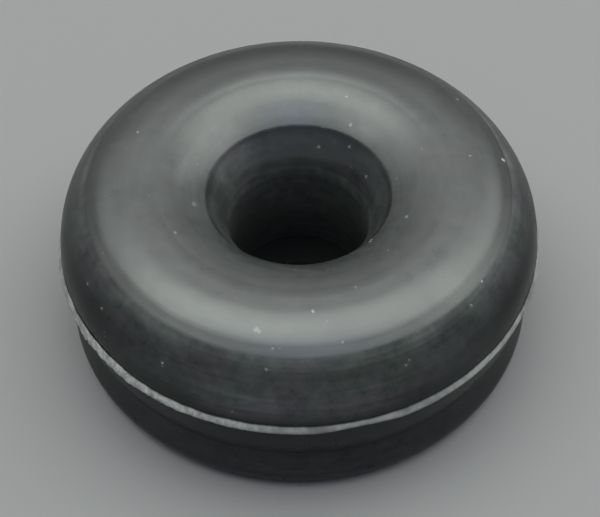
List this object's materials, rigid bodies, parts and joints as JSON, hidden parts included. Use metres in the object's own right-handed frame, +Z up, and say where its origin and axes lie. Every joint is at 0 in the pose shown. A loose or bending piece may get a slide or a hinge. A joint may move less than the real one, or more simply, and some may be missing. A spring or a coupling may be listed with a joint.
{
  "type": "rubber gaiter",
  "caption": "Round moulded rubber gaiter with a rolled convolution, a funnel neck whose long bore ends in a gripping lip, and a beaded base.",
  "frame": {"origin": "centre of the base's foot plane, on the bore axis", "axes": "+Z up the bore axis from the base to the neck; the piece is round, so +X and +Y are free"},
  "size_m": [0.042, 0.042, 0.0166],
  "materials": {
    "rubber": "satin black moulded rubber with a faint grey bloom, a pale scuffed flash line and specks of dust"
  },
  "bodies": {
    "root": {"gaiter": "rubber"}
  },
  "joints": []
}
